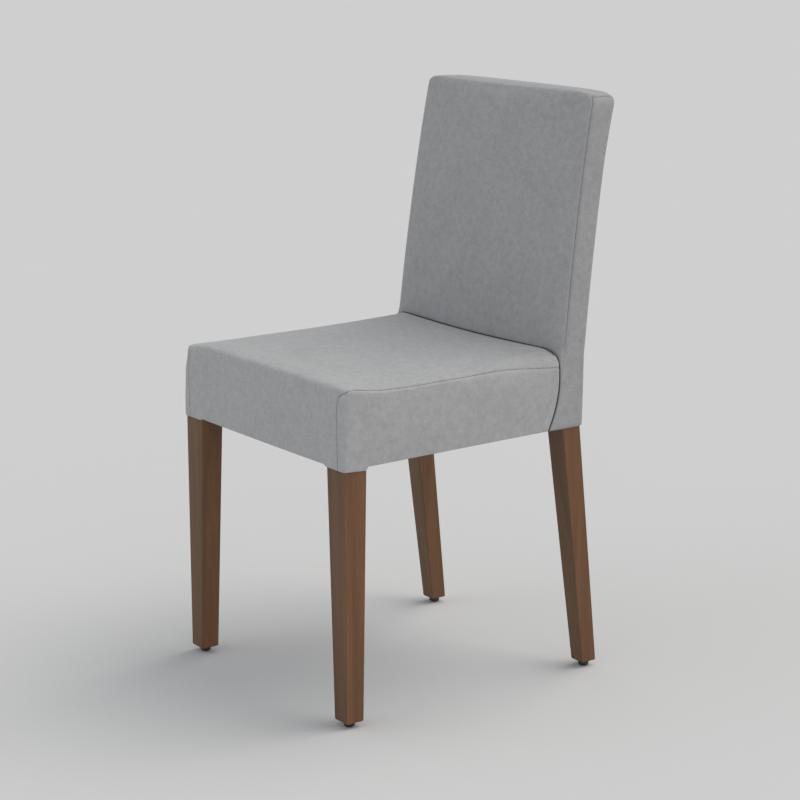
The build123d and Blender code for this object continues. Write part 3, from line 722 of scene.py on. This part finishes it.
def sheet_point(across, y):
    half = sheet_half(y)
    inner = 1 - smooth_step(abs(across) * half, 0, half - rail_cover)
    middle = (sheet_low.y + sheet_high.y) / 2
    length = (sheet_high.y - sheet_low.y) / 2
    inner = inner * (1 - smooth_step(abs(y - middle), 0, length - rail_cover))
    place = Vector((across * ripples_across, y * ripples_along, ripple_seed))
    ripple = noise.noise(place) * ripple_height
    return Vector((across * half, y, sheet_high.z - sheet_thickness - (sag + ripple) * inner))


notch_x = half_front - front_leg_x - leg_room
front_notch_y = leg_front + front_leg_y + leg_room
rear_notch_y = rear_leg_low.y - leg_room
rows = np.concatenate(
    [
        np.linspace(sheet_low.y, front_notch_y, front_rows),
        np.linspace(front_notch_y, rear_notch_y, middle_rows)[1:],
        np.linspace(rear_notch_y, sheet_high.y, rear_rows)[1:],
    ]
)
notch_share = notch_x / sheet_half(front_notch_y)
in_middle, at_edge = np.linspace(0, notch_share, middle_columns), np.linspace(notch_share, 1, edge_columns)
columns = mirrored(np.concatenate([in_middle, at_edge[1:]]))
sheet_net = bmesh.new()
lower = [[sheet_net.verts.new(sheet_point(across, y)) for across in columns] for y in rows]
for row in range(len(rows) - 1):
    for column in range(len(columns) - 1):
        outside = abs(columns[column] + columns[column + 1]) / 2 > notch_share
        in_notch = rows[row + 1] <= front_notch_y + row_slack or rows[row] >= rear_notch_y - row_slack
        if outside and in_notch:
            continue
        near, far = lower[row], lower[row + 1]
        sheet_net.faces.new([near[column], far[column], far[column + 1], near[column + 1]])
unused = [vert for vert in sheet_net.verts if not vert.link_faces]
bmesh.ops.delete(sheet_net, geom=unused, context="VERTS")
flat_area = sum(face.calc_area() for face in sheet_net.faces)
sheet_mesh = bpy.data.meshes.new("dust_sheet")
sheet_net.to_mesh(sheet_mesh)
sheet_net.free()
sheet_mesh.shade_smooth()
dust_sheet = placed("dust_sheet", sheet_mesh)
layer = dust_sheet.modifiers.new("thickness", "SOLIDIFY")
layer.thickness = sheet_thickness
layer.offset = -1
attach(dust_sheet, "root")
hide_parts("dust_cover")
sheet_width, sheet_length = 2 * sheet_half(sheet_low.y), sheet_high.y - sheet_low.y
print("dust sheet:", round(sheet_width, 3), "by", round(sheet_length, 3), "m, area", round(flat_area, 4))


# %% [markdown]
# A shader is a graph of nodes, and maths drawn as nodes is hard to read. A small class wraps one socket, so
# that a sum or a product in Python adds the Math node that does it. Every other node comes from one method,
# which takes the node's type, its settings and what goes into its sockets.

# %% Shader maths as Python
class Flow:
    """One value that flows through a finish's nodes."""

    def __init__(self, finish, socket):
        self.finish = finish
        self.socket = socket

    def math(self, operation, first, second):
        return self.finish.node("ShaderNodeMath", {"operation": operation}, {0: first, 1: second})

    def __add__(self, other):
        return self.math("ADD", self, other)

    def __radd__(self, other):
        return self.math("ADD", other, self)

    def __sub__(self, other):
        return self.math("SUBTRACT", self, other)

    def __mul__(self, other):
        return self.math("MULTIPLY", self, other)


class Finish:
    """A material, and the ways to add nodes to it."""

    def __init__(self, name):
        self.material = bpy.data.materials.new(name)
        self.material.use_nodes = True
        self.tree = self.material.node_tree
        self.tree.nodes.clear()

    def node(self, kind, settings, sockets, output=0):
        """Adds a node: its settings first, then a value or a link for each socket named."""
        made = self.tree.nodes.new(kind)
        for key, value in settings.items():
            if key == "stops":
                self.set_stops(made.color_ramp.elements, value)
            else:
                setattr(made, key, value)
        for key, value in sockets.items():
            if isinstance(value, Flow):
                self.tree.links.new(value.socket, made.inputs[key])
            else:
                made.inputs[key].default_value = value
        return Flow(self, made.outputs[output])

    def set_stops(self, elements, stops):
        while len(elements) < len(stops):
            elements.new(1)
        for element, (position, colour) in zip(elements, stops):
            element.position = position
            element.color = (*colour, 1)

    def place(self):
        return self.node("ShaderNodeTexCoord", {}, {}, "Object")

    def stretched(self, factors):
        """The object's own coordinates in metres, times a factor along each axis."""
        return self.node("ShaderNodeVectorMath", {"operation": "MULTIPLY"}, {0: self.place(), 1: factors})

    def grain(self, factors, detail=2.0, roughness=0.5, distortion=0.0):
        """Noise whose cells are one over the factors across, in metres."""
        settings = {"noise_dimensions": "3D"}
        sockets = {"Vector": self.stretched(factors), "Scale": 1.0, "Detail": detail}
        sockets |= {"Roughness": roughness, "Distortion": distortion}
        return self.node("ShaderNodeTexNoise", settings, sockets, "Fac")

    def between(self, value, low, high):
        """The value stretched so that low becomes 0 and high becomes 1, and held in between."""
        sockets = {"Value": value, "From Min": low, "From Max": high}
        return self.node("ShaderNodeMapRange", {"clamp": True}, sockets)

    def ramp(self, value, stops):
        return self.node("ShaderNodeValToRGB", {"stops": stops}, {"Fac": value}, "Color")

    def mix(self, share, first, second, blend="MIX"):
        settings = {"data_type": "RGBA", "blend_type": blend}
        return self.node("ShaderNodeMix", settings, {0: share, 6: first, 7: second}, 2)

    def bump(self, height, strength, distance):
        sockets = {"Height": height, "Strength": strength, "Distance": distance}
        return self.node("ShaderNodeBump", {}, sockets, "Normal")

    def surface(self, sockets):
        """Ends the finish in one Principled shader."""
        shader = self.node("ShaderNodeBsdfPrincipled", {}, sockets, "BSDF")
        output = self.tree.nodes.new("ShaderNodeOutputMaterial")
        self.tree.links.new(shader.socket, output.inputs["Surface"])
        return self.material

    def matt(self, colour, rough, height, strength, depth):
        """Ends the finish with a colour, a roughness and a relief alone."""
        relief = self.bump(height, strength, depth)
        return self.surface({"Base Color": colour, "Roughness": rough, "Normal": relief})


# %% [markdown]
# The cover is a grey microfibre with a short nap. From a step away it reads as plain grey, but close up it
# is mottled: the nap lies in patches of about a centimetre, fine slubs cross in two directions as in linen,
# and the fibres give a soft light at grazing angles, which is what the sheen is for. The back's panels get
# a copy of the same cloth painted a little darker, a painted shade for the dimmer light on the back's front.

# %% The cover cloth
def cover_cloth(name, painted_shade):
    cloth = Finish(name)
    clouds = cloth.grain((14, 14, 14), 2)
    patches = cloth.grain((95, 95, 95), 4, 0.62)
    crossing = ((130, 700, 700), (700, 130, 700), (700, 700, 130))
    slubs_x, slubs_y, slubs_z = (cloth.grain(cell, 3, 0.6) for cell in crossing)
    nap = cloth.grain((1900, 1900, 1900), 2)
    slubs = (slubs_x + slubs_y + slubs_z) * (1 / 3)
    tone = cloth.between(patches, 0.3, 0.7) * 0.3 + cloth.between(slubs, 0.36, 0.64) * 0.48
    tone = tone + cloth.between(clouds, 0.3, 0.7) * 0.1 + nap * 0.12
    # Painted shade: every grey is multiplied by the factor, which darkens the back's copy of the cloth.
    dark, middle, light = (tuple(part * painted_shade for part in grey) for grey in cloth_greys)
    colour = cloth.ramp(tone, [(0.2, dark), (0.5, middle), (0.8, light)])
    height = slubs * 0.6 + nap * 0.4
    rough = 0.86 + cloth.between(patches, 0.3, 0.7) * 0.1
    return cloth.surface(
        {
            "Base Color": colour,
            "Roughness": rough,
            "Normal": cloth.bump(height, 0.4, 0.4 * mm),
            "Sheen Weight": 0.12,
            "Sheen Roughness": 0.45,
            "Sheen Tint": (0.86, 0.88, 0.92, 1),
            "Specular IOR Level": 0.2,
        }
    )


cloth_greys = ((0.320, 0.322, 0.326), (0.380, 0.382, 0.386), (0.440, 0.442, 0.445))
# The back's cloth is painted 0.875 times as light as the seat's, a painted shade.
seat_cloth, back_cloth_painted_darker = cover_cloth("seat_cloth", 1.0), cover_cloth("back_cloth_painted_darker", 0.875)
seat.data.materials.append(seat_cloth)
back.data.materials.append(back_cloth_painted_darker)
print("cloth finish has", len(seat_cloth.node_tree.nodes), "nodes")


# %% [markdown]
# The seam thread is painted much darker than the cloth: partly the thread's own colour, partly a painted
# shade for the dark line of the seam's ditch. A twist along its length would be finer than anything the eye
# resolves, so a fine noise breaks up its colour instead.

# %% The seam thread
def seam_thread_and_shade():
    twist = Finish("seam_thread_and_shade")
    fleck = twist.grain((1800, 1800, 900), 1)
    # Painted shade: the thread is much darker than the cloth, so that it draws the seam's dark line.
    colour = twist.ramp(fleck, [(0.3, (0.165, 0.162, 0.168)), (0.7, (0.225, 0.222, 0.228))])
    return twist.matt(colour, 0.7 + fleck * 0.2, fleck, 0.3, 0.2 * mm)


thread_and_shade_finish = seam_thread_and_shade()
for piece in threads:
    piece.data.materials.append(thread_and_shade_finish)
print("threads:", [piece.name for piece in threads])


# %% [markdown]
# The legs are solid wood with a walnut stain under a satin lacquer. The grain runs up each leg, so the
# noise is stretched along Z: broad bands for the growth rings, streaks within them and short dark pores.
# The faces to the front and the rear are painted greyer and darker than the sides, a painted shade for how
# the light falls on them, and the normal's Y chooses between the two tints. The lacquer is a thin coat over
# the wood, its roughness varying with the streaks.

# %% Stained wood
# Painted shade: one tint for faces to the sides, a darker, greyer one for faces to the front and rear.
side_facing_painted_tint, front_facing_painted_shade = (0.97, 0.93, 0.86, 1), (0.78, 0.86, 0.85, 1)


def stained_wood():
    wood = Finish("stained_wood")
    bands = wood.grain((46, 46, 2.2), 3, 0.55, 0.6)
    streaks = wood.grain((330, 330, 9), 4, 0.62, 0.3)
    pores = wood.grain((1500, 1500, 60), 2, 0.6)
    tone = wood.between(bands, 0.3, 0.7) * 0.55 + wood.between(streaks, 0.3, 0.7) * 0.45
    stain = wood.ramp(
        tone,
        [
            (0.1, (0.120, 0.055, 0.0245)),
            (0.5, (0.160, 0.076, 0.034)),
            (0.9, (0.204, 0.100, 0.046)),
        ],
    )
    pore_share = wood.between(pores, 0.60, 0.70) * 0.55
    colour = wood.mix(pore_share, stain, (0.045, 0.025, 0.013, 1))
    # Painted shade: the normal's Y tints faces to the front and rear darker and greyer than the sides.
    normal = wood.node("ShaderNodeNewGeometry", {}, {}, "Normal")
    turned = wood.node("ShaderNodeSeparateXYZ", {}, {0: normal}, "Y")
    front_facing_share = turned * turned
    colour = wood.mix(1.0, colour, wood.mix(front_facing_share, side_facing_painted_tint, front_facing_painted_shade), "MULTIPLY")
    height = streaks * 0.5 - pore_share
    rough = 0.48 + wood.between(streaks, 0.3, 0.7) * 0.16
    return wood.surface(
        {
            "Base Color": colour,
            "Roughness": rough,
            "Normal": wood.bump(height, 0.25, 0.3 * mm),
            "Coat Weight": 0.07,
            "Coat Roughness": 0.35,
            "Specular IOR Level": 0.35,
        }
    )


# %% [markdown]
# Under the cloth the chair is plain: pale beech rails, dark elastic straps, brown hardboard and steel
# fasteners. Most of it never shows, but the part may be opened up or rendered cut away, so each gets its
# own modest finish from the same few tools.

# %% Hidden materials
def pale_wood():
    wood = Finish("frame_wood")
    streaks = wood.grain((40, 260, 260), 4, 0.6, 0.3)
    colour = wood.ramp(streaks, [(0.3, (0.43, 0.29, 0.17)), (0.7, (0.58, 0.42, 0.27))])
    return wood.matt(colour, 0.6 + streaks * 0.2, streaks, 0.2, 0.3 * mm)


def strap_web():
    web = Finish("strap_web")
    ribs = web.grain((700, 700, 700), 2)
    stripe = web.grain((90, 20, 20), 1)
    colour = web.mix(web.between(stripe, 0.4, 0.6), (0.05, 0.045, 0.04, 1), (0.10, 0.09, 0.075, 1))
    return web.matt(colour, 0.75 + ribs * 0.2, ribs, 0.5, 0.4 * mm)


def hard_board():
    board = Finish("hard_board")
    fibre = board.grain((300, 300, 300), 5, 0.7)
    colour = board.ramp(fibre, [(0.3, (0.16, 0.10, 0.055)), (0.7, (0.26, 0.17, 0.10))])
    return board.matt(colour, 0.7 + fibre * 0.2, fibre, 0.3, 0.3 * mm)


def fastener_steel():
    steel = Finish("fastener_steel")
    film = steel.grain((420, 420, 420), 3)
    colour = steel.ramp(film, [(0.3, (0.42, 0.42, 0.43)), (0.7, (0.60, 0.60, 0.60))])
    rough, relief = 0.3 + film * 0.25, steel.bump(film, 0.1, 0.2 * mm)
    return steel.surface({"Base Color": colour, "Metallic": 1.0, "Roughness": rough, "Normal": relief})


# %% [markdown]
# The dust sheet is a spunbonded felt: black, matt, with a faint print of small dimples from the rollers
# that bond it. The tube in the joint is a near-black painted shadow, a little lighter than the felt. The
# glides are moulded black plastic, matt from the mould and scuffed on the sole.

# %% Dust sheet, painted joint shadow and glides
def black_felt():
    felt = Finish("black_felt")
    fibres = felt.grain((500, 500, 500), 4, 0.7)
    sockets = {"Vector": felt.stretched((420, 420, 420)), "Scale": 1.0, "Randomness": 0.15}
    dimples = felt.node("ShaderNodeTexVoronoi", {"feature": "F1"}, sockets)
    colour = felt.ramp(fibres, [(0.3, (0.012, 0.012, 0.013)), (0.7, (0.028, 0.028, 0.030))])
    height = felt.between(dimples, 0.1, 0.5) * 0.7 + fibres * 0.3
    return felt.matt(colour, 0.85 + fibres * 0.1, height, 0.5, 0.4 * mm)


# Painted shadow: near-black colour for the shade in the joint between seat and back.
def joint_shadow_black():
    shadow_finish = Finish("joint_shadow_black")
    fibres = shadow_finish.grain((600, 600, 600), 3, 0.6)
    colour = shadow_finish.ramp(fibres, [(0.3, (0.045, 0.045, 0.046)), (0.7, (0.075, 0.075, 0.077))])
    return shadow_finish.matt(colour, 0.85 + fibres * 0.1, fibres, 0.3, 0.2 * mm)


def moulded_plastic():
    plastic = Finish("moulded_plastic")
    grain = plastic.grain((900, 900, 900), 3)
    scuff = plastic.grain((160, 160, 600), 4, 0.7)
    colour = plastic.ramp(scuff, [(0.35, (0.012, 0.012, 0.012)), (0.75, (0.032, 0.031, 0.030))])
    rough = 0.38 + plastic.between(scuff, 0.4, 0.7) * 0.25
    return plastic.matt(colour, rough, grain, 0.15, 0.2 * mm)


# %% [markdown]
# The CAD nodes that stay in view keep their shape and only change their finish. The node names say what
# each one is, so a table of name beginnings is enough to dress them. The first match counts.

# %% Dressing the CAD nodes
stained, pale, web, board = stained_wood(), pale_wood(), strap_web(), hard_board()
steel, felt, plastic = fastener_steel(), black_felt(), moulded_plastic()
dust_sheet.data.materials.append(felt)
joint_shadow_tube.data.materials.append(joint_shadow_black())
finish_starts = [
    (steel, ("corner_block_screws", "dust_cover", "glide_nails")),
    (stained, ("front_leg", "rear_leg")),
    (pale, ("seat_rail", "corner_block", "rail_dowels", "back_top_rail", "back_lower_rail")),
    (web, ("seat_webbing", "back_webbing")),
    (board, ("back_board",)),
    (plastic, ("glide",)),
    (seat_cloth, ("seat_foam", "seat_cover")),
    (back_cloth_painted_darker, ("back_foam", "back_cover")),
]
for name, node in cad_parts.items():
    finish = next(finish for finish, starts in finish_starts if name.startswith(starts))
    for slot in node.material_slots:
        slot.material = finish
print("dressed", len(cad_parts), "CAD nodes")

# %% [markdown]
# The picture is taken from the chair's front right, a little above the seat, with a long lens. The camera's
# three axes come from two angles and a small roll, and they are the columns of its matrix.

# %% The camera
camera_place = Vector((2.7121, leg_front - 1.66635, 1.1631))
turn, tilt, roll = math.radians(54.838), math.radians(12.885), math.radians(-0.157)
backward = Vector((math.sin(turn) * math.cos(tilt), -math.cos(turn) * math.cos(tilt), math.sin(tilt)))
level = Vector((math.cos(turn), math.sin(turn), 0))
upright = backward.cross(level)
right = level * math.cos(roll) + upright * math.sin(roll)
up = upright * math.cos(roll) - level * math.sin(roll)
camera = placed("camera", bpy.data.cameras.new("camera"))
camera.data.sensor_width = 36
camera.data.lens = 102.15
camera.matrix_world = Matrix((right, up, backward)).transposed().to_4x4()
camera.location = camera_place
scene.camera = camera
print("camera", round((camera_place - Vector((0, 0, 0.43))).length, 2), "m from the chair's middle")

# %% [markdown]
# A studio photograph of furniture has almost no hard shadows: a large pale room throws light from
# everywhere. One broad lamp stands high behind the chair, so the seat's top is bright but the back shades
# its rear. A weaker one lights the right side and a third fills the front. They are suns with a wide angle,
# which gives soft edges. The camera sees a plain backdrop instead of the room, by the Light Path node, in
# the same pale grey as the floor.

# %% Floor and light
def pale_floor():
    floor = Finish("pale_floor")
    dust = floor.grain((3, 3, 3), 2)
    colour = floor.ramp(dust, [(0.0, (0.575, 0.577, 0.580)), (1.0, (0.585, 0.587, 0.590))])
    return floor.surface({"Base Color": colour, "Roughness": 0.95, "Specular IOR Level": 0.0})


floor_half = 40.0
floor_mesh = bpy.data.meshes.new("floor")
floor_corners = [(x * floor_half, y * floor_half, 0) for x, y in ((-1, -1), (1, -1), (1, 1), (-1, 1))]
floor_mesh.from_pydata(floor_corners, [], [(0, 1, 2, 3)])
floor_object = placed("floor", floor_mesh)
floor_mesh.materials.append(pale_floor())

world = bpy.data.worlds.new("studio")
world.use_nodes = True
nodes, links = world.node_tree.nodes, world.node_tree.links
room = nodes["Background"]
room.inputs["Color"].default_value = (0.54, 0.556, 0.566, 1)
backdrop = nodes.new("ShaderNodeBackground")
backdrop.inputs["Color"].default_value = (0.6, 0.6, 0.6, 1)
seen = nodes.new("ShaderNodeLightPath")
either = nodes.new("ShaderNodeMixShader")
links.new(seen.outputs["Is Camera Ray"], either.inputs["Fac"])
links.new(room.outputs["Background"], either.inputs[1])
links.new(backdrop.outputs["Background"], either.inputs[2])
links.new(either.outputs["Shader"], nodes["World Output"].inputs["Surface"])
scene.world = world


def sun(name, towards, strength, colour):
    """A soft lamp far away, in the direction given."""
    lamp = bpy.data.lights.new(name, "SUN")
    lamp.energy = strength
    lamp.angle = math.radians(60)
    lamp.color = colour
    holder = placed(name, lamp)
    holder.rotation_euler = Vector(towards).to_track_quat("Z", "Y").to_euler()


sun("overhead", (0.2, 0.54, 0.83), 1.76, (1, 0.96, 0.905))
sun("right", (1, -0.25, 0.15), 0.52, (0.98, 0.88, 1.0))
sun("front", (-0.35, -1, 0.4), 0.44, (0.86, 0.93, 1.0))
scene.view_settings.view_transform = "Standard"
